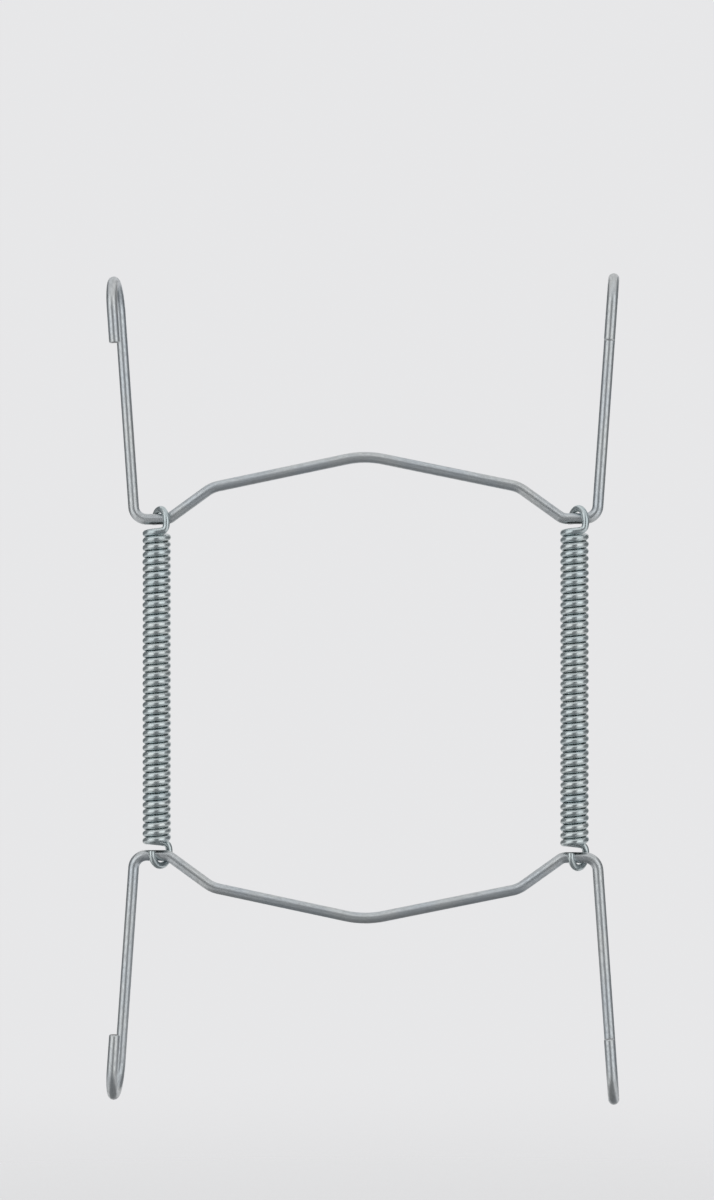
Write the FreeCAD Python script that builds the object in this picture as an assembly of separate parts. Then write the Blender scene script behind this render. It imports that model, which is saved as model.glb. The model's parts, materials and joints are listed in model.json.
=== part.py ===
import FreeCAD, Part
import math
import os

# Wire plate hanger: two equal bent wire frames with hooks, drawn together by two equal coil springs.
# Millimetres. +X is to the right, +Z is up, and the hooks point forward along -Y, away from the wall.
# The origin is the point under the ridge of the upper frame where a nail or a screw carries the hanger.

Vector = FreeCAD.Vector

# Frame wire
FRAME_WIRE = 1.4        # diameter of the frame wire
TIP_CHAMFER = 0.2       # broken edge at the cut ends of the frame wire

# Outline of one frame, seen from the front; the other frame is the same wire turned over
SEAT_INSIDE = 1.5       # from the spring axis in to the corner where the ramp starts
SEAT_OUTSIDE = 2.9      # from the spring axis out to the corner under the arm
RAMP_RUN = 5.7          # from the ramp's corner in to the shoulder
SHOULDER_RISE = 4.1     # shoulder above the seat
RIDGE_RISE = 8.2        # corner of the ridge above the seat
ARM_LENGTH = 31.2       # along the arm, from the seat's corner to the end of the hook
ARM_LEAN = 4.0          # degrees that each arm leans outward

# Bends of the frame wire, to the middle of the wire
ARM_BEND = 1.7
RAMP_BEND = 1.5
SHOULDER_BEND = 4.0
RIDGE_BEND = 12.0

# Hooks
HOOK_GAP = 6.0          # clear space inside a hook, front to back
HOOK_REACH = 8.8        # from the end of the hook back to the tip of the wire

# Springs
SPRING_WIRE = 0.9       # diameter of the spring wire
SPRING_OUTSIDE = 3.7    # outside diameter of the coil
SPRING_OFFSET = 27.0    # from the middle of the hanger to each spring's axis
COIL_LENGTH = 40.2      # between the middles of the first and the last turn
TURN_GAP = 0.025        # air between turns of the relaxed coil

# End loops of the springs
LOOP_TURN = 33.0        # degrees that a loop is turned away from facing the seat squarely
LOOP_SHIFT = 0.5        # a loop stands this far to the right of its spring's axis
LOOP_START = -12.0      # degrees round the loop, from level in front, where its round part starts
LOOP_END = 188.0        # degrees round the loop where the wire is cut off
LOOP_LEAD = 33.0        # degrees of the last turn that are lifted to lead into the loop
SEAT_CLEARANCE = 0.15   # between a seat and the loop that hangs on it
SIDE_CLEARANCE = 0.3    # between a seat and each side of a loop
END_CLEARANCE = 0.08    # between the cut end of a loop and the coil

# Wires have flat sides and their bends are made of short runs, so that many turns stay light
FRAME_SIDES = 12
BEND_STEP = 15.0        # most degrees that a frame bend turns from one short run to the next
SPRING_SIDES = 4
RUNS_PER_TURN = 12      # short runs in one turn of the coil
LEAD_RUNS = 4           # short runs that lead from the coil into a loop
LOOP_RUNS = 10          # short runs in the round part of a loop

# Worked out from the sizes above
frame_radius = FRAME_WIRE / 2
spring_radius = SPRING_WIRE / 2
coil_radius = (SPRING_OUTSIDE - SPRING_WIRE) / 2
pitch = SPRING_WIRE + TURN_GAP
rise_per_radian = pitch / (2 * math.pi)

loop_angle = math.radians(LOOP_TURN)
loop_radius = (frame_radius + SIDE_CLEARANCE + spring_radius) / math.cos(loop_angle)
loop_rise = SPRING_WIRE + END_CLEARANCE - loop_radius * math.sin(math.radians(LOOP_END))

# The coil ends where its wire can lead into a loop, so its length is the nearest that whole turns allow
coil_end_azimuth = loop_angle - math.pi / 2 - math.radians(LOOP_LEAD)
whole_turns = round((COIL_LENGTH / 2 / rise_per_radian - coil_end_azimuth) / (2 * math.pi))
coil_end = 2 * math.pi * whole_turns + coil_end_azimuth
coil_half = rise_per_radian * coil_end

loop_height = coil_half + loop_rise
seat_half = loop_height + loop_radius - spring_radius - SEAT_CLEARANCE - frame_radius

ridge_turn = 2 * math.atan2(RIDGE_RISE - SHOULDER_RISE, SPRING_OFFSET - SEAT_INSIDE - RAMP_RUN)
ridge_drop = RIDGE_BEND / math.cos(ridge_turn / 2) - RIDGE_BEND
upper_seat = frame_radius + ridge_drop - RIDGE_RISE
spring_middle = upper_seat - seat_half
lower_seat = spring_middle - seat_half


def carried(outward, heading):
    """A section's outward direction, carried on to the next heading without twist."""
    return (outward - heading * outward.dot(heading)).normalize()


def bent_path(corners, bends, outward):
    """Stations (point, heading, outward) along straight runs and tangent bends, one bend per inner corner."""
    heading = (corners[1] - corners[0]).normalize()
    stations = [(corners[0], heading, outward)]
    for corner, after, bend in zip(corners[1:], corners[2:], bends):
        away = (after - corner).normalize()
        turn = heading.getAngle(away)
        start = corner - heading * (bend * math.tan(turn / 2))
        inward = (away - heading * away.dot(heading)).normalize()
        steps = math.ceil(math.degrees(turn) / BEND_STEP)
        for i in range(steps + 1):
            angle = turn * i / steps
            point = start + heading * (bend * math.sin(angle)) + inward * (bend * (1 - math.cos(angle)))
            now = heading * math.cos(angle) + inward * math.sin(angle)
            outward = carried(outward, now)
            if not point.isEqual(stations[-1][0], 1e-6):
                stations.append((point, now, outward))
        heading = away
    stations.append((corners[-1], heading, outward))
    return stations


def section(station, radius, sides):
    """Corners of a wire's section at a station, as a ring."""
    point, heading, outward = station
    sideways = heading.cross(outward)
    ring = []
    for k in range(sides):
        angle = 2 * math.pi * k / sides
        ring.append(point + outward * (radius * math.cos(angle)) + sideways * (radius * math.sin(angle)))
    return ring


def flat_faces(corners):
    """One face where four corners lie in a plane, and otherwise two triangles."""
    a, b, c, d = corners
    normal = (b - a).cross(c - a).normalize()
    pieces = [[a, b, c, d]] if abs(normal.dot(d - a)) < 1e-7 else [[a, b, c], [a, c, d]]
    return [Part.Face(Part.makePolygon(piece + piece[:1])) for piece in pieces]


def solid_from_rings(rings):
    """A closed solid through rings of equal counts of corners, with a flat cap at each end."""
    caps = [rings[0], rings[-1][::-1]]
    faces = [Part.Face(Part.makePolygon(cap + cap[:1])) for cap in caps]
    for near, far in zip(rings, rings[1:]):
        for k in range(len(near)):
            faces += flat_faces([near[k - 1], far[k - 1], far[k], near[k]])
    shell = Part.Shell(faces)
    shell.sewShape()
    solid = Part.Solid(shell)
    return solid if solid.Volume > 0 else solid.reversed()


def half_outline():
    """Corners of the right half of a frame, from the hook's tip to the ridge, with the seat at height 0."""
    lean = math.radians(ARM_LEAN)
    along_arm = Vector(math.sin(lean), 0, math.cos(lean))
    arm_foot = Vector(SPRING_OFFSET + SEAT_OUTSIDE, 0, 0)
    arm_end = arm_foot + along_arm * (ARM_LENGTH - frame_radius)
    hook_front = arm_end + Vector(0, -(HOOK_GAP + FRAME_WIRE), 0)
    tip = hook_front - along_arm * (HOOK_REACH - frame_radius)
    ramp_foot = Vector(SPRING_OFFSET - SEAT_INSIDE, 0, 0)
    shoulder = ramp_foot + Vector(-RAMP_RUN, 0, SHOULDER_RISE)
    ridge = Vector(0, 0, RIDGE_RISE)
    return [tip, hook_front, arm_end, arm_foot, ramp_foot, shoulder, ridge]


def frame_solid():
    """One frame: a wire bent from hook to hook, with its seats at height 0 and its arms up."""
    right = half_outline()
    left = [Vector(-p.x, p.y, p.z) for p in reversed(right[:-1])]
    hook_bend = (HOOK_GAP + FRAME_WIRE) / 2
    half_bends = [hook_bend, hook_bend, ARM_BEND, RAMP_BEND, SHOULDER_BEND]
    bends = half_bends + [RIDGE_BEND] + half_bends[::-1]
    stations = bent_path(right + left, bends, Vector(0, 1, 0))

    tip_rings = []
    for station, along in ((stations[0], 1), (stations[-1], -1)):
        point, heading, outward = station
        behind_chamfer = (point + heading * (along * TIP_CHAMFER), heading, outward)
        tip_rings.append([
            section(station, frame_radius - TIP_CHAMFER, FRAME_SIDES),
            section(behind_chamfer, frame_radius, FRAME_SIDES),
        ])
    middle_rings = [section(s, frame_radius, FRAME_SIDES) for s in stations[1:-1]]
    return solid_from_rings(tip_rings[0] + middle_rings + tip_rings[1][::-1])


def coil_stations():
    """Stations along the coil, from its lower end to its upper end, about the Z axis."""
    steps = round(coil_end / math.pi * RUNS_PER_TURN)
    stations = []
    for i in range(steps + 1):
        angle = coil_end * (2 * i / steps - 1)
        outward = Vector(math.cos(angle), math.sin(angle), 0)
        point = outward * coil_radius + Vector(0, 0, rise_per_radian * angle)
        heading = Vector(-outward.y * coil_radius, outward.x * coil_radius, rise_per_radian).normalize()
        stations.append((point, heading, outward))
    return stations


def lead_curve(start, start_heading, end, end_heading):
    """Points and headings strictly between two ends, on the cubic curve that fits both headings."""
    pull = start.distanceToPoint(end) / 2
    handle_in = start + start_heading * pull
    handle_out = end - end_heading * pull
    curve = Part.BezierCurve()
    curve.setPoles([start, handle_in, handle_out, end])
    return [(curve.value(i / LEAD_RUNS), curve.tangent(i / LEAD_RUNS)[0]) for i in range(1, LEAD_RUNS)]


def loop_stations(coil_last):
    """Stations along the upper loop: a lead that rises from the coil's last station, then a round."""
    across = Vector(math.sin(loop_angle), -math.cos(loop_angle), 0)
    up = Vector(0, 0, 1)
    middle = Vector(LOOP_SHIFT, 0, loop_height)
    first = math.radians(LOOP_START)
    sweep = math.radians(LOOP_END) - first
    round_part = []
    for i in range(LOOP_RUNS + 1):
        angle = first + sweep * i / LOOP_RUNS
        spoke = across * math.cos(angle) + up * math.sin(angle)
        round_part.append((middle + spoke * loop_radius, up * math.cos(angle) - across * math.sin(angle)))

    point, heading, outward = coil_last
    stations = []
    for point, heading in lead_curve(point, heading, *round_part[0]) + round_part:
        outward = carried(outward, heading)
        stations.append((point, heading, outward))
    return stations


def half_turn_about_x(station):
    """The station that a spring has at its other end, where its wire runs the other way."""
    point, heading, outward = [Vector(v.x, -v.y, -v.z) for v in station]
    return (point, -heading, outward)


def spring_solid():
    """One spring about the Z axis, with its middle at height 0; turned over about X it looks the same."""
    coil = coil_stations()
    upper_loop = loop_stations(coil[-1])
    lower_loop = [half_turn_about_x(station) for station in reversed(upper_loop)]
    stations = lower_loop + coil + upper_loop
    return solid_from_rings([section(s, spring_radius, SPRING_SIDES) for s in stations])


def turned_over(shape):
    """A copy turned half a turn about the Y axis, so that its front stays in front."""
    copy = shape.copy()
    copy.rotate(Vector(0, 0, 0), Vector(0, 1, 0), 180)
    return copy


def save(name, shape, place):
    placed = shape.copy()
    placed.translate(place)
    placed.exportStep("parts/" + name + ".step")


os.makedirs("parts", exist_ok=True)
frame = frame_solid()
spring = spring_solid()
save("upper_frame", frame, Vector(0, 0, upper_seat))
save("lower_frame", turned_over(frame), Vector(0, 0, lower_seat))
save("left_spring", spring, Vector(-SPRING_OFFSET, 0, spring_middle))
save("right_spring", spring, Vector(SPRING_OFFSET, 0, spring_middle))
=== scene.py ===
import json
import math

import bpy
import numpy as np
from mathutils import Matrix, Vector


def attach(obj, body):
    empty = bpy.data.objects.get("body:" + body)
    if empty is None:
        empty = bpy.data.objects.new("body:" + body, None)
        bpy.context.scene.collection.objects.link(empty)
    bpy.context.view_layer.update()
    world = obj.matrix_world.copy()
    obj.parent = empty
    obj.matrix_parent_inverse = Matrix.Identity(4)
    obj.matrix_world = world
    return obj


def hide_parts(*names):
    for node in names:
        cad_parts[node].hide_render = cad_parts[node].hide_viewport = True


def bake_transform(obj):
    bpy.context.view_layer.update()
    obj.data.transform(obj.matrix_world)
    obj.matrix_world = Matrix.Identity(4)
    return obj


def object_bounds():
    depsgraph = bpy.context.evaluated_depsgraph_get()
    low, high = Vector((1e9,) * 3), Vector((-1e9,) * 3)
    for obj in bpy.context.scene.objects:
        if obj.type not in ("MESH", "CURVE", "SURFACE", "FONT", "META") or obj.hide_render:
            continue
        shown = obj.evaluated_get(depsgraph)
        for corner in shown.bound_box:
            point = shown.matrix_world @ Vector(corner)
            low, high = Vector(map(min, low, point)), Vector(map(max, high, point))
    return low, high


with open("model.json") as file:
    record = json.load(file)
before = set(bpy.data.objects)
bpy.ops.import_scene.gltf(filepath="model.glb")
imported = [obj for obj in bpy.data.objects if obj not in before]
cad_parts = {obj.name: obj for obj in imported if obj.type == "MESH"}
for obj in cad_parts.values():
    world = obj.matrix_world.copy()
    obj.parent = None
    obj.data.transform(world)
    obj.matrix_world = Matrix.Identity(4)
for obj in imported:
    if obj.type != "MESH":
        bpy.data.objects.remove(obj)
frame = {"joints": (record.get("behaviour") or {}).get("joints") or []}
cad_low, cad_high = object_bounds()

# Wire plate hanger: round drawn wires along the lines of the flat-sided solids, and a plain pale studio.
# Metres. +X is to the right, +Z is up, and the hooks point forward along -Y.

# Frame wire, and the outline of one frame as the solids have it
FRAME_WIRE = 0.0014
SEAT_INSIDE = 0.0015        # from the spring axis in to the corner where the ramp starts
SEAT_OUTSIDE = 0.0029       # from the spring axis out to the corner under the arm
RAMP_RUN = 0.0057
SHOULDER_RISE = 0.0041
RIDGE_RISE = 0.0082
ARM_LENGTH = 0.0312
ARM_LEAN = math.radians(4.0)
ARM_BEND = 0.0017
RAMP_BEND = 0.0015
SHOULDER_BEND = 0.0040
RIDGE_BEND = 0.0120
HOOK_GAP = 0.0060
HOOK_REACH = 0.0088
FRAME_TIP_EDGE = 0.0002     # softened edge of the frame wire's cut ends

# Springs as the solids have them
SPRING_WIRE = 0.0009
SPRING_OUTSIDE = 0.0037
SPRING_OFFSET = 0.0270
COIL_LENGTH = 0.0402
TURN_GAP = 0.000025
LOOP_TURN = math.radians(33.0)
LOOP_SHIFT = 0.0005
LOOP_START = math.radians(-12.0)
LOOP_END = math.radians(188.0)
LOOP_LEAD = math.radians(33.0)
SIDE_CLEARANCE = 0.0003
END_CLEARANCE = 0.00008
SPRING_TIP_EDGE = 0.00006   # softened edge of the spring wire's cut ends

# Small unevenness of a wound coil
COIL_WOBBLE = 0.000014      # most that a turn stands in or out
SWELL_TURNS = 5.3           # turns from one slow swell of the coil to the next
NUDGE_TURNS = 1.7           # turns from one small nudge to the next
OPENING_TURNS = 0.6         # turns over which a drawn coil opens up behind each loop
LEFT_PHASE = 0.0            # where each spring starts in its unevenness, so that the two aren't alike
RIGHT_PHASE = 2.1

# How finely the round wires are made
FRAME_SIDES = 32
BEND_STEP = math.radians(3.0)
SPRING_SIDES = 16
RUNS_PER_TURN = 40
LEAD_RUNS = 16
LOOP_RUNS = 48
EDGE_RINGS = 5
SAME_PLACE = 1e-8           # points nearer than this are one point

# Zinc plate. Grains are grains of noise per millimetre, along the wire and across its section. Spreads are
# the values of the noise between which its effect goes from one end to the other.
MILLIMETRES = 1000          # in a metre
FRAME_TINTS = ((0.56, 0.60, 0.63, 1.0), (0.62, 0.64, 0.64, 1.0))
FRAME_ROUGHNESS = 0.30
SPRING_TINTS = ((0.57, 0.645, 0.66, 1.0), (0.65, 0.70, 0.695, 1.0))
SPRING_ROUGHNESS = 0.20
TINT_GRAIN = (0.16, 0.5, 0.5)
TINT_SPREAD = (0.35, 0.65)
CRYSTAL_GRAIN = (1.6, 3.0, 3.0)
CRYSTAL_SPREAD = (0.30, 0.62)
CRYSTAL_SHADE = 0.80        # share of the plate's colour that the dullest crystals leave
CRYSTAL_HEIGHT = 0.000020
CRYSTAL_STRENGTH = 0.30
GLOSS_SPREAD = (0.30, 0.65)
GLOSS_LOSS = 0.12           # roughness that the dullest crystals add
LINE_GRAIN = (0.10, 16.0, 16.0)
LINE_SPREAD = (0.32, 0.55)
LINE_SHADE = 0.86           # share of the plate's colour that the deepest draw lines leave
LINE_HEIGHT = 0.000012
LINE_STRENGTH = 0.35
BARE_TINTS = ((0.20, 0.195, 0.19, 1.0), (0.36, 0.355, 0.35, 1.0))
BARE_SPREAD = (0.30, 0.70)
BARE_ROUGHNESS = 0.50
NOISE_ROUGHNESS = 0.60
PLAIN_DETAIL = 2.0          # octaves of noise
FINE_DETAIL = 4.0

# Camera
FIELD_HEIGHT = 0.1548       # height of the picture at the hanger
CAMERA_DISTANCE = 0.455
CAMERA_AZIMUTH = math.radians(4.0)
CAMERA_AIM = Vector((-0.0010, 0.0, -0.0177))
CAMERA_NEAR = 0.01          # nearest that the camera sees

# Studio
FLOOR_CLEARANCE = 0.025     # between the floor and the hanger when it is drawn out
FLOOR_RADIUS = 0.70
FADE_RADIUS = 0.18          # where the floor starts to fade into the surroundings
FLOOR_SIDES = 96
PAPER = (0.86, 0.86, 0.87, 1.0)
PAPER_ROUGHNESS = 0.90
PAPER_SHINE = 0.10
SURROUNDINGS = (0.80, 0.80, 0.81, 1.0)
SURROUND_LIGHT = 0.62       # light of the surroundings on what is matt

# Lamps, and the dark panels that only the metal reflects; azimuths and elevations in degrees from the front
SOFTBOX_DISTANCE = 0.90
SOFTBOX_WIDTH = 0.80
SOFTBOX_HEIGHT = 1.20
SOFTBOX_DEPTH = 0.02        # from the lamp to the box's dark back
SIDE_BRIGHTNESS = 1.00      # radiance of the softboxes at the sides, where paper white is 1
TOP_BRIGHTNESS = 0.65
LEFT_AZIMUTH = -46
RIGHT_AZIMUTH = 48
TOP_AZIMUTH = 0
SIDE_ELEVATION = 4
TOP_ELEVATION = 80
PANEL_GREY = (0.26, 0.27, 0.28, 1.0)
PANEL_DISTANCE = 0.95
FRONT_PANEL = (-16, 22)     # azimuths from edge to edge
LEFT_PANEL = (-150, -74)
RIGHT_PANEL = (76, 150)
LOW_PANEL_HALF_WIDTH = 0.09
LOW_PANEL_FRONT = -0.75
LOW_PANEL_BACK = 0.12
LOW_PANEL_LIFT = 0.004      # above the floor

joints = {joint["name"]: joint for joint in frame["joints"]}
upper_seat = joints["upper_pivot"]["pos_m"][2]
lower_seat = joints["lower_pivot"]["pos_m"][2]
spring_middle = (upper_seat + lower_seat) / 2
drawn_out = joints["stretch"]["range_m"][1]
floor = cad_low.z - drawn_out - FLOOR_CLEARANCE

frame_radius = FRAME_WIRE / 2
spring_radius = SPRING_WIRE / 2
coil_radius = (SPRING_OUTSIDE - SPRING_WIRE) / 2
rise_per_radian = (SPRING_WIRE + TURN_GAP) / math.tau
loop_radius = (frame_radius + SIDE_CLEARANCE + spring_radius) / math.cos(LOOP_TURN)
loop_rise = SPRING_WIRE + END_CLEARANCE - loop_radius * math.sin(LOOP_END)
coil_end_azimuth = LOOP_TURN - math.pi / 2 - LOOP_LEAD
whole_turns = round((COIL_LENGTH / 2 / rise_per_radian - coil_end_azimuth) / math.tau)
coil_end = math.tau * whole_turns + coil_end_azimuth


def unit(vectors):
    """The vector, or each row of vectors, at length one."""
    return vectors / np.linalg.norm(vectors, axis=-1, keepdims=True)


# Round wires


def bent_wire(corners, bends):
    """Points along straight runs and tangent round bends, one bend per inner corner."""
    heading = unit(corners[1] - corners[0])
    points = [corners[0]]
    for corner, after, bend in zip(corners[1:], corners[2:], bends):
        away = unit(after - corner)
        turn = math.acos(heading @ away)
        start = corner - heading * (bend * math.tan(turn / 2))
        inward = unit(away - heading * (away @ heading))
        for angle in np.linspace(0, turn, math.ceil(turn / BEND_STEP) + 1):
            point = start + heading * (bend * math.sin(angle)) + inward * (bend * (1 - math.cos(angle)))
            if np.linalg.norm(point - points[-1]) > SAME_PLACE:
                points.append(point)
        heading = away
    return np.array(points + [corners[-1]])


def carried(outward, headings):
    """An outward direction carried along the headings without twist, one row per heading."""
    rows = []
    for heading in headings:
        outward = unit(outward - heading * (outward @ heading))
        rows.append(outward)
    return np.array(rows)


def wire_rings(points, outward, radius, sides, edge):
    """Rings of corners round a wire, from cut end to cut end, where they draw in to soften its edges.

    Returns the rings' middles, their corners, the corners' places on the wire (along it and across its
    section), the number of the point nearest to each ring, and whether the ring lies on a cut face."""
    headings = unit(np.gradient(points, axis=0))
    outwards = carried(outward, headings)
    angle = np.linspace(0, math.pi / 2, EDGE_RINGS)
    inset = edge * (1 - np.cos(angle))
    rim = radius - edge * (1 - np.sin(angle))

    last = len(points) - 1
    nearest = np.concatenate([[0] * (EDGE_RINGS + 1), np.arange(1, last), [last] * (EDGE_RINGS + 1)])
    shift = np.concatenate([[0], inset, np.zeros(last - 1), -inset[::-1], [0]])
    radii = np.concatenate([[rim[0] / 2], rim, np.full(last - 1, radius), rim[::-1], [rim[0] / 2]])
    on_cut = np.isclose(shift, 0) & (radii < radius)

    middles = points[nearest] + headings[nearest] * shift[:, None]
    sideways = np.cross(headings, outwards)
    turn = np.arange(sides) * math.tau / sides
    across = np.stack([np.cos(turn), np.sin(turn)], axis=1)[None] * radii[:, None, None]
    spokes = across[:, :, :1] * outwards[nearest][:, None] + across[:, :, 1:] * sideways[nearest][:, None]
    along = np.concatenate([[0], np.cumsum(np.linalg.norm(np.diff(middles, axis=0), axis=1))])
    places = np.concatenate([np.broadcast_to(along[:, None, None], across[:, :, :1].shape), across], axis=2)
    return middles, middles[:, None] + spokes, places, nearest, on_cut


def wire_object(name, points, outward, radius, sides, edge):
    """A closed round wire along the points, whose cut ends have softened edges.

    Its material reads where it is on the wire, from the attribute wire_place (millimetres along the wire and
    across its section), and which faces were cut, from the attribute cut_end. Returns the object and the
    number of the point that is nearest to each vertex."""
    middles, rings, places, nearest, on_cut = wire_rings(points, outward, radius, sides, edge)
    k = np.arange(sides)
    after = (k + 1) % sides
    first = (np.arange(len(rings) - 1) * sides)[:, None]
    quads = np.stack([first + k, first + after, first + sides + after, first + sides + k], axis=2)
    # Each end is closed by a fan about its middle, and the two middles are the last vertices
    start_hub = len(rings) * sides
    end_hub = start_hub + 1
    end_ring = start_hub - sides
    fans = [(start_hub, b, a) for a, b in zip(k, after)]
    fans += [(end_hub, end_ring + a, end_ring + b) for a, b in zip(k, after)]

    vertices = np.concatenate([rings.reshape(-1, 3), middles[[0, -1]]])
    mesh = bpy.data.meshes.new(name)
    mesh.from_pydata(vertices.tolist(), [], quads.reshape(-1, 4).tolist() + fans)
    mesh.polygons.foreach_set("use_smooth", [True] * len(mesh.polygons))

    hub_places = places[[0, -1], 0] * (1, 0, 0)
    place = np.concatenate([places.reshape(-1, 3), hub_places]) * MILLIMETRES
    mesh.attributes.new("wire_place", "FLOAT_VECTOR", "POINT").data.foreach_set("vector", place.ravel())
    cut_end = np.concatenate([np.repeat(on_cut, sides), [1, 1]]).astype(float)
    mesh.attributes.new("cut_end", "FLOAT", "POINT").data.foreach_set("value", cut_end)
    mesh.update()

    piece = bpy.data.objects.new(name, mesh)
    bpy.context.scene.collection.objects.link(piece)
    return piece, np.concatenate([np.repeat(nearest, sides), nearest[[0, -1]]])


# Frames


def frame_points():
    """Points along one frame from its right tip to its left tip, seats at height 0 and arms up."""
    along_arm = np.array([math.sin(ARM_LEAN), 0, math.cos(ARM_LEAN)])
    hook_depth = HOOK_GAP + FRAME_WIRE
    arm_foot = np.array([SPRING_OFFSET + SEAT_OUTSIDE, 0, 0])
    arm_end = arm_foot + along_arm * (ARM_LENGTH - frame_radius)
    hook_front = arm_end + np.array([0, -hook_depth, 0])
    tip = hook_front - along_arm * (HOOK_REACH - frame_radius)
    ramp_foot = np.array([SPRING_OFFSET - SEAT_INSIDE, 0, 0])
    shoulder = ramp_foot + np.array([-RAMP_RUN, 0, SHOULDER_RISE])
    ridge = np.array([0, 0, RIDGE_RISE])
    right = [tip, hook_front, arm_end, arm_foot, ramp_foot, shoulder]
    left = [corner * (-1, 1, 1) for corner in right[::-1]]
    half_bends = [hook_depth / 2, hook_depth / 2, ARM_BEND, RAMP_BEND, SHOULDER_BEND]
    return bent_wire(right + [ridge] + left, half_bends + [RIDGE_BEND] + half_bends[::-1])


def make_frame(node, seat, up, material):
    """A frame that stands for the node; up is 1, or -1 for the frame that is turned over about Y."""
    points = frame_points() * (up, 1, up) + (0, 0, seat)
    backward = np.array([0.0, 1.0, 0.0])
    piece, _ = wire_object(node + "_wire", points, backward, frame_radius, FRAME_SIDES, FRAME_TIP_EDGE)
    piece.data.materials.append(material)
    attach(piece, node)
    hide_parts(node)


# Springs


def lead_and_loop(start, heading):
    """Points from the coil's upper end over a lead into the upper loop, to its cut end."""
    across = np.array([math.sin(LOOP_TURN), -math.cos(LOOP_TURN), 0])
    upward = np.array([0.0, 0.0, 1.0])
    middle = np.array([LOOP_SHIFT, 0, rise_per_radian * coil_end + loop_rise])
    angle = np.linspace(LOOP_START, LOOP_END, LOOP_RUNS + 1)[:, None]
    loop = middle + (across * np.cos(angle) + upward * np.sin(angle)) * loop_radius
    loop_heading = upward * math.cos(LOOP_START) - across * math.sin(LOOP_START)

    pull = np.linalg.norm(loop[0] - start) / 2
    handles = (start, start + heading * pull, loop[0] - loop_heading * pull, loop[0])
    t = np.linspace(0, 1, LEAD_RUNS + 1)[1:-1, None]
    shares = ((1 - t) ** 3, 3 * t * (1 - t) ** 2, 3 * t ** 2 * (1 - t), t ** 3)
    lead = sum(share * handle for share, handle in zip(shares, handles))
    return np.concatenate([lead, loop])


def spring_points(phase):
    """Points along a spring's wire from its lower to its upper cut end, about the Z axis, middle at height 0.

    The second result says how far each point follows the lower end when the spring is drawn out: 1 on the
    lower loop, 0 on the upper loop, and evenly from one to the other along the coil."""
    steps = round(coil_end / math.pi * RUNS_PER_TURN)
    angle = np.linspace(-coil_end, coil_end, steps + 1)
    turns = angle / math.tau
    from_end = (coil_end - np.abs(angle)) / math.tau
    free = np.clip(from_end / OPENING_TURNS, 0, 1)

    slow = np.sin(math.tau * turns / SWELL_TURNS + phase)
    quick = np.sin(math.tau * turns / NUDGE_TURNS + 2 * phase)
    radius = coil_radius + COIL_WOBBLE * free * (slow + quick) / 2
    coil = np.stack([radius * np.cos(angle), radius * np.sin(angle), rise_per_radian * angle], axis=1)
    heading = np.array([
        -coil_radius * math.sin(coil_end),
        coil_radius * math.cos(coil_end),
        rise_per_radian,
    ])
    upper = lead_and_loop(coil[-1], unit(heading))
    lower = (upper * (1, -1, -1))[::-1]

    opened = np.cumsum(free)
    follow = 1 - opened / opened[-1]
    follows = np.concatenate([np.ones(len(lower)), follow, np.zeros(len(upper))])
    return np.concatenate([lower, coil, upper]), follows


def make_spring(node, side, phase, material):
    """A spring that stands for the node; side is -1 for the left one and 1 for the right one."""
    points, follows = spring_points(phase)
    points = points + (side * SPRING_OFFSET, 0, spring_middle)
    outward = unit(points[0] - points.mean(axis=0))
    piece, nearest = wire_object(
        node + "_wire", points, outward, spring_radius, SPRING_SIDES, SPRING_TIP_EDGE
    )
    piece.data.materials.append(material)
    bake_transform(piece)
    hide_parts(node)


# Materials


def add_node(tree, kind, **values):
    """A new node with the given properties, and the given values on its inputs (spaces written as _)."""
    node = tree.nodes.new(kind)
    for name, value in values.items():
        if name in node.bl_rna.properties:
            setattr(node, name, value)
        else:
            node.inputs[name.replace("_", " ")].default_value = value
    return node


def stretched_noise(tree, place, stretch, detail):
    """Noise over the wire's own coordinates, with its grains per millimetre along and across the wire."""
    scaled = add_node(tree, "ShaderNodeVectorMath", operation="MULTIPLY")
    scaled.inputs[1].default_value = stretch
    noise = add_node(tree, "ShaderNodeTexNoise", Scale=1.0, Detail=detail, Roughness=NOISE_ROUGHNESS)
    tree.links.new(place.outputs["Vector"], scaled.inputs[0])
    tree.links.new(scaled.outputs["Vector"], noise.inputs["Vector"])
    return noise.outputs["Fac"]


def grey(value):
    """A grey colour, or a number for a socket that reads one from a colour."""
    return (value, value, value, 1.0)


def ramp(tree, factor, spread, low, high):
    """Colours from low to high, as the factor goes through the spread."""
    node = add_node(tree, "ShaderNodeValToRGB")
    for element, position, colour in zip(node.color_ramp.elements, spread, (low, high)):
        element.position = position
        element.color = colour
    tree.links.new(factor, node.inputs["Fac"])
    return node.outputs["Color"]


def mixed(tree, factor, first, second, blend="MIX"):
    """Two colours mixed, each a socket or a colour; the factor is a socket or a number."""
    node = add_node(tree, "ShaderNodeMix", data_type="RGBA", blend_type=blend)
    # The node's sockets for colours share their names with others, so they are taken by number
    for socket, value in ((node.inputs[0], factor), (node.inputs[6], first), (node.inputs[7], second)):
        if isinstance(value, bpy.types.NodeSocket):
            tree.links.new(value, socket)
        else:
            socket.default_value = value
    return node.outputs[2]


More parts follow.
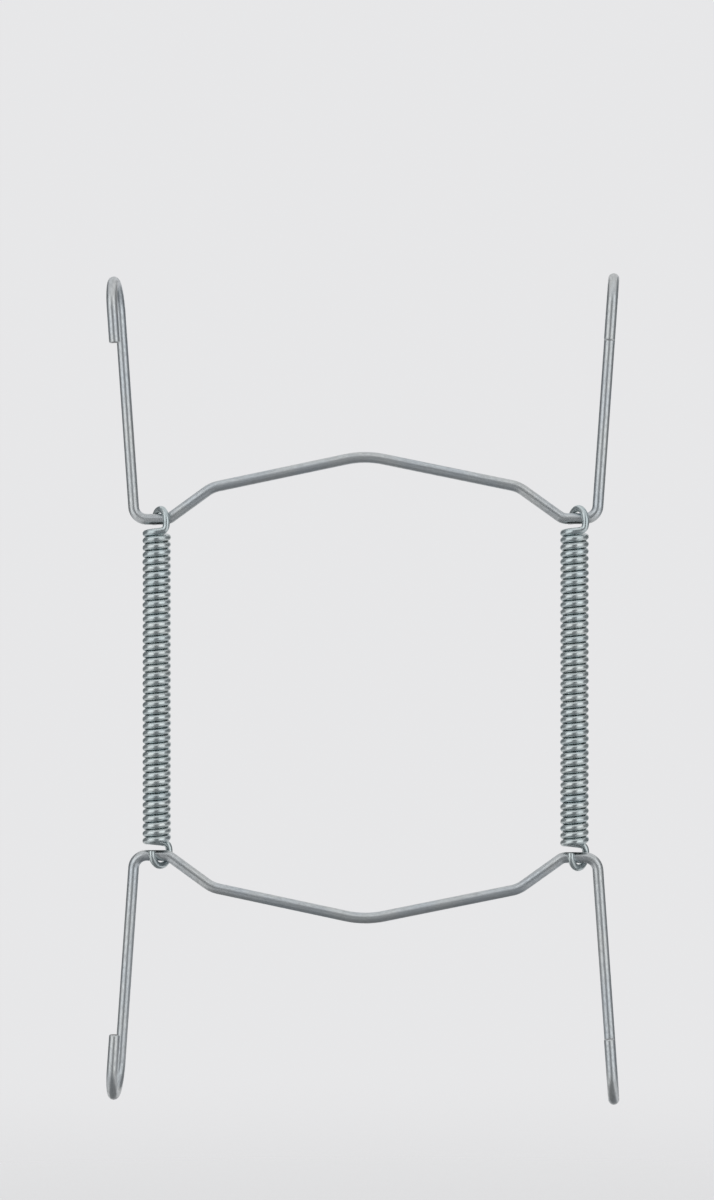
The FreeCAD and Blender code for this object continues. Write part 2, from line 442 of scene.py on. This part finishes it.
def zinc(name, tints, roughness):
    """Bright zinc plate on drawn wire: fine draw lines along it, uneven crystals and a faint change of tint.

    Where the wire was cut, the bare steel shows, darker and rougher."""
    material = bpy.data.materials.new(name)
    material.use_nodes = True
    tree = material.node_tree
    surface = tree.nodes["Principled BSDF"]
    surface.inputs["Metallic"].default_value = 1.0
    place = add_node(tree, "ShaderNodeAttribute", attribute_name="wire_place")
    cut = add_node(tree, "ShaderNodeAttribute", attribute_name="cut_end")

    tint = stretched_noise(tree, place, TINT_GRAIN, PLAIN_DETAIL)
    crystals = stretched_noise(tree, place, CRYSTAL_GRAIN, FINE_DETAIL)
    lines = stretched_noise(tree, place, LINE_GRAIN, PLAIN_DETAIL)

    plate = ramp(tree, tint, TINT_SPREAD, *tints)
    cloud = ramp(tree, crystals, CRYSTAL_SPREAD, grey(CRYSTAL_SHADE), grey(1.0))
    streak = ramp(tree, lines, LINE_SPREAD, grey(LINE_SHADE), grey(1.0))
    clouded = mixed(tree, 1.0, plate, cloud, "MULTIPLY")
    streaked = mixed(tree, 1.0, clouded, streak, "MULTIPLY")
    bare = ramp(tree, lines, BARE_SPREAD, *BARE_TINTS)
    tree.links.new(mixed(tree, cut.outputs["Fac"], streaked, bare), surface.inputs["Base Color"])

    gloss = ramp(tree, crystals, GLOSS_SPREAD, grey(roughness + GLOSS_LOSS), grey(roughness))
    rough = mixed(tree, cut.outputs["Fac"], gloss, grey(BARE_ROUGHNESS))
    tree.links.new(rough, surface.inputs["Roughness"])

    drawn = add_node(tree, "ShaderNodeBump", Strength=LINE_STRENGTH, Distance=LINE_HEIGHT)
    grained = add_node(tree, "ShaderNodeBump", Strength=CRYSTAL_STRENGTH, Distance=CRYSTAL_HEIGHT)
    tree.links.new(lines, drawn.inputs["Height"])
    tree.links.new(crystals, grained.inputs["Height"])
    tree.links.new(drawn.outputs["Normal"], grained.inputs["Normal"])
    tree.links.new(grained.outputs["Normal"], surface.inputs["Normal"])
    return material


def fading_paper():
    """Matt pale paper that fades into the surroundings.

    It shows from above only, so that it never hides the hanger."""
    material = bpy.data.materials.new("fading_paper")
    material.use_nodes = True
    tree = material.node_tree
    surface = tree.nodes["Principled BSDF"]
    surface.inputs["Base Color"].default_value = PAPER
    surface.inputs["Roughness"].default_value = PAPER_ROUGHNESS
    surface.inputs["Specular IOR Level"].default_value = PAPER_SHINE
    clear = add_node(tree, "ShaderNodeBsdfTransparent")
    place = add_node(tree, "ShaderNodeNewGeometry")
    # The distance from the middle is measured along the floor, without the height
    flat = add_node(tree, "ShaderNodeVectorMath", operation="MULTIPLY")
    flat.inputs[1].default_value = (1, 1, 0)
    distance = add_node(tree, "ShaderNodeVectorMath", operation="LENGTH")
    fade = add_node(tree, "ShaderNodeMapRange", interpolation_type="SMOOTHSTEP")
    fade.inputs["From Min"].default_value = FADE_RADIUS
    fade.inputs["From Max"].default_value = FLOOR_RADIUS
    hidden = add_node(tree, "ShaderNodeMath", operation="MAXIMUM")
    both = add_node(tree, "ShaderNodeMixShader")
    tree.links.new(place.outputs["Position"], flat.inputs[0])
    tree.links.new(flat.outputs["Vector"], distance.inputs[0])
    tree.links.new(distance.outputs["Value"], fade.inputs["Value"])
    tree.links.new(fade.outputs["Result"], hidden.inputs[0])
    tree.links.new(place.outputs["Backfacing"], hidden.inputs[1])
    tree.links.new(hidden.outputs["Value"], both.inputs["Fac"])
    tree.links.new(surface.outputs["BSDF"], both.inputs[1])
    tree.links.new(clear.outputs["BSDF"], both.inputs[2])
    tree.links.new(both.outputs["Shader"], tree.nodes["Material Output"].inputs["Surface"])
    return material


def dark_panel_material():
    """Matt dark panel."""
    material = bpy.data.materials.new("dark_panel")
    material.use_nodes = True
    surface = material.node_tree.nodes["Principled BSDF"]
    surface.inputs["Base Color"].default_value = PANEL_GREY
    surface.inputs["Roughness"].default_value = 1.0
    return material


# Studio


def make_floor():
    """A round floor, clear of the hanger also when it is drawn out."""
    angles = np.linspace(0, math.tau, FLOOR_SIDES, endpoint=False)
    rim = [(FLOOR_RADIUS * math.cos(angle), FLOOR_RADIUS * math.sin(angle), floor) for angle in angles]
    mesh = bpy.data.meshes.new("floor")
    mesh.from_pydata(rim, [], [range(FLOOR_SIDES)])
    mesh.materials.append(fading_paper())
    thing = bpy.data.objects.new("floor", mesh)
    bpy.context.scene.collection.objects.link(thing)


def aimed(thing, place, target):
    """Puts a lamp, panel or camera at a place, facing the target along its own -Z."""
    thing.location = place
    thing.rotation_euler = (Vector(target) - Vector(place)).to_track_quat("-Z", "Y").to_euler()


def around(azimuth, elevation, distance):
    """A place seen from the hanger's middle: azimuth 0 is in front, 90 to the right, in degrees."""
    a = math.radians(azimuth)
    e = math.radians(elevation)
    direction = Vector((math.sin(a) * math.cos(e), -math.cos(a) * math.cos(e), math.sin(e)))
    return Vector((0, 0, spring_middle)) + direction * distance


def panel(name, corners, material):
    """A dark panel that only the bright metal reflects, which draws dark lines and edges on it."""
    mesh = bpy.data.meshes.new(name)
    mesh.from_pydata(corners, [], [(0, 1, 2, 3)])
    mesh.materials.append(material)
    thing = bpy.data.objects.new(name, mesh)
    bpy.context.scene.collection.objects.link(thing)
    thing.visible_camera = False
    thing.visible_diffuse = False
    thing.visible_shadow = False
    return thing


def softbox(name, azimuth, elevation, brightness, dark):
    """A soft rectangular lamp with a dark back, which faces the hanger and isn't seen itself."""
    lamp = bpy.data.lights.new(name, "AREA")
    lamp.shape = "RECTANGLE"
    lamp.size = SOFTBOX_WIDTH
    lamp.size_y = SOFTBOX_HEIGHT
    lamp.energy = brightness * math.pi * SOFTBOX_WIDTH * SOFTBOX_HEIGHT
    thing = bpy.data.objects.new(name, lamp)
    bpy.context.scene.collection.objects.link(thing)
    thing.visible_camera = False

    x = SOFTBOX_WIDTH / 2
    y = SOFTBOX_HEIGHT / 2
    z = SOFTBOX_DEPTH
    back = panel(name + "_back", [(-x, -y, z), (x, -y, z), (x, y, z), (-x, y, z)], dark)
    for part in (thing, back):
        aimed(part, around(azimuth, elevation, SOFTBOX_DISTANCE), (0, 0, spring_middle))


def upright_panel(name, azimuths, material):
    """A tall panel from one azimuth round the hanger to another."""
    near, far = [around(azimuth, 0, PANEL_DISTANCE) for azimuth in azimuths]
    rise = Vector((0, 0, SOFTBOX_HEIGHT / 2))
    panel(name, [near - rise, far - rise, far + rise, near + rise], material)


def low_panel(material):
    """A panel that lies just above the floor in front of the hanger."""
    x = LOW_PANEL_HALF_WIDTH
    z = floor + LOW_PANEL_LIFT
    front = [(-x, LOW_PANEL_FRONT, z), (x, LOW_PANEL_FRONT, z)]
    back = [(x, LOW_PANEL_BACK, z), (-x, LOW_PANEL_BACK, z)]
    panel("low_panel", front + back, material)


def make_lights():
    """Softboxes at both sides and on top, with dark panels between and beyond them."""
    dark = dark_panel_material()
    softbox("left_softbox", LEFT_AZIMUTH, SIDE_ELEVATION, SIDE_BRIGHTNESS, dark)
    softbox("right_softbox", RIGHT_AZIMUTH, SIDE_ELEVATION, SIDE_BRIGHTNESS, dark)
    softbox("top_softbox", TOP_AZIMUTH, TOP_ELEVATION, TOP_BRIGHTNESS, dark)
    upright_panel("front_panel", FRONT_PANEL, dark)
    upright_panel("left_panel", LEFT_PANEL, dark)
    upright_panel("right_panel", RIGHT_PANEL, dark)
    low_panel(dark)


def make_world():
    """Even pale surroundings, less strong as light than they look."""
    world = bpy.data.worlds.new("studio")
    bpy.context.scene.world = world
    world.use_nodes = True
    tree = world.node_tree
    light = tree.nodes["Background"]
    light.inputs["Color"].default_value = (1.0, 1.0, 1.0, 1.0)
    light.inputs["Strength"].default_value = SURROUND_LIGHT
    seen = add_node(tree, "ShaderNodeBackground", Color=SURROUNDINGS, Strength=1.0)
    path = add_node(tree, "ShaderNodeLightPath")
    camera_or_glossy = add_node(tree, "ShaderNodeMath", operation="MAXIMUM")
    any_seen = add_node(tree, "ShaderNodeMath", operation="MAXIMUM")
    both = add_node(tree, "ShaderNodeMixShader")
    tree.links.new(path.outputs["Is Camera Ray"], camera_or_glossy.inputs[0])
    tree.links.new(path.outputs["Is Glossy Ray"], camera_or_glossy.inputs[1])
    tree.links.new(camera_or_glossy.outputs[0], any_seen.inputs[0])
    tree.links.new(path.outputs["Is Transmission Ray"], any_seen.inputs[1])
    tree.links.new(any_seen.outputs[0], both.inputs["Fac"])
    tree.links.new(light.outputs["Background"], both.inputs[1])
    tree.links.new(seen.outputs["Background"], both.inputs[2])
    tree.links.new(both.outputs["Shader"], tree.nodes["World Output"].inputs["Surface"])


def make_camera():
    """A long lens, level with its aim and a little to the right."""
    camera = bpy.data.cameras.new("camera")
    camera.lens = camera.sensor_width * CAMERA_DISTANCE / FIELD_HEIGHT
    thing = bpy.data.objects.new("camera", camera)
    bpy.context.scene.collection.objects.link(thing)
    back = Vector((math.sin(CAMERA_AZIMUTH), -math.cos(CAMERA_AZIMUTH), 0))
    aimed(thing, CAMERA_AIM + back * CAMERA_DISTANCE, CAMERA_AIM)
    camera.clip_start = CAMERA_NEAR
    bpy.context.scene.camera = thing


frame_zinc = zinc("frame_zinc", FRAME_TINTS, FRAME_ROUGHNESS)
spring_zinc = zinc("spring_zinc", SPRING_TINTS, SPRING_ROUGHNESS)
make_frame("upper_frame", upper_seat, 1, frame_zinc)
make_frame("lower_frame", lower_seat, -1, frame_zinc)
make_spring("left_spring", -1, LEFT_PHASE, spring_zinc)
make_spring("right_spring", 1, RIGHT_PHASE, spring_zinc)

make_floor()
make_lights()
make_world()
make_camera()
bpy.context.scene.view_settings.view_transform = "Standard"
